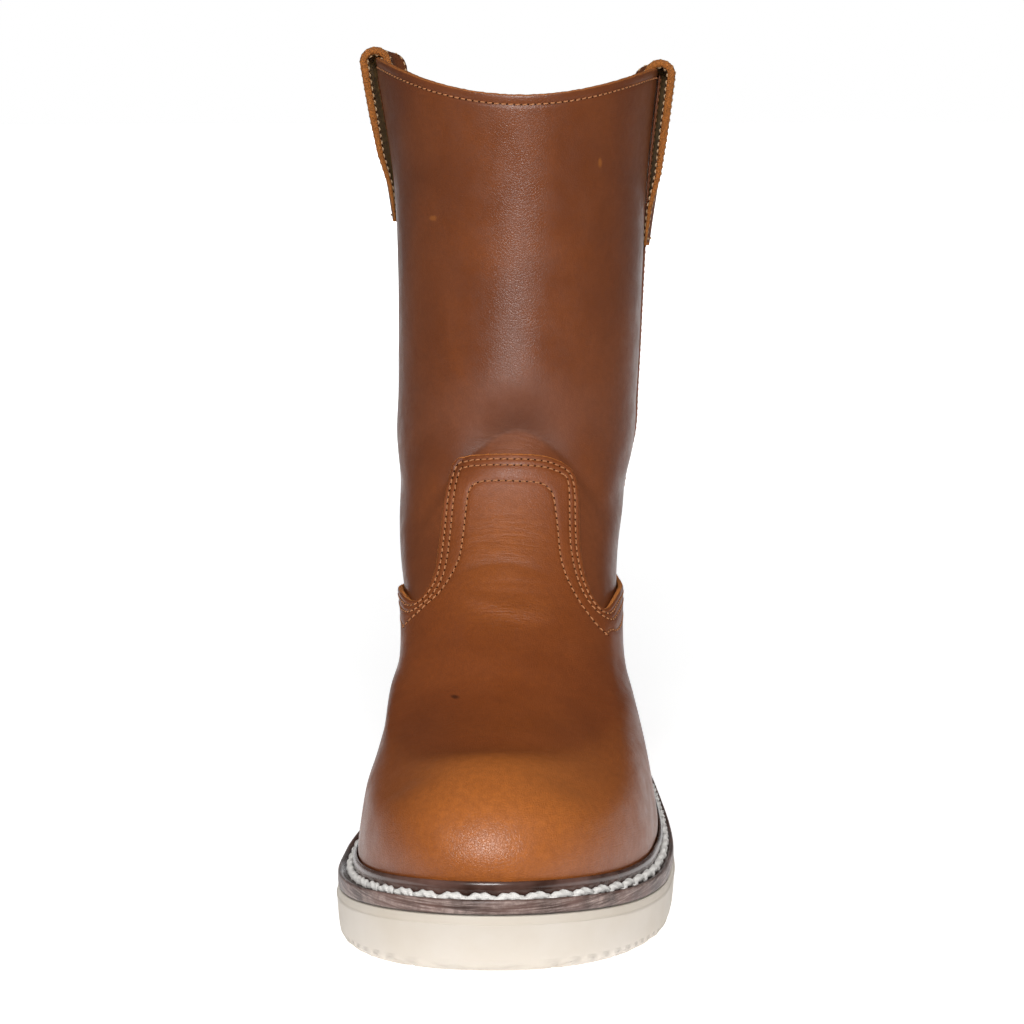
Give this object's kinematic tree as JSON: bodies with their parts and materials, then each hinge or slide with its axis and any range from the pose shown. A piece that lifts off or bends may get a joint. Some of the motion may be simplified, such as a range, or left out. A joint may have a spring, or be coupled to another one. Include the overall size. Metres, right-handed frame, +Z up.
{
  "type": "wellington work boot",
  "caption": "Left pull-on wellington work boot: hollow leather shaft and foot, tongued vamp, stitched welt, pull straps and a thick cream wedge sole.",
  "frame": {"origin": "middle of the boot's bounding box, on the floor under the sole", "axes": "toe towards -Y, heel towards +Y, the wearer's outer (lateral) side towards +X, collar up along +Z"},
  "size_m": [0.1186, 0.302, 0.2925],
  "materials": {
    "cream_rubber": "matte cream blown rubber",
    "welt_leather": "dark brown, waxed lip and dull trimmed edge",
    "insole_leather": "matte undyed leather",
    "shaft_leather": "oiled smooth brown leather",
    "vamp_leather": "oiled smooth tan brown leather",
    "seam_leather_medial": "oiled smooth brown leather",
    "seam_leather_lateral": "oiled smooth brown leather",
    "strap_leather_medial": "brown leather with raw tan edges",
    "strap_leather_lateral": "brown leather with raw tan edges"
  },
  "bodies": {
    "root": {"outsole": "cream_rubber", "welt": "welt_leather", "insole": "insole_leather", "upper": "shaft_leather", "vamp": "vamp_leather", "side_seam_medial": "seam_leather_medial", "side_seam_lateral": "seam_leather_lateral", "pull_strap_medial": "strap_leather_medial", "pull_strap_lateral": "strap_leather_lateral"}
  },
  "joints": []
}
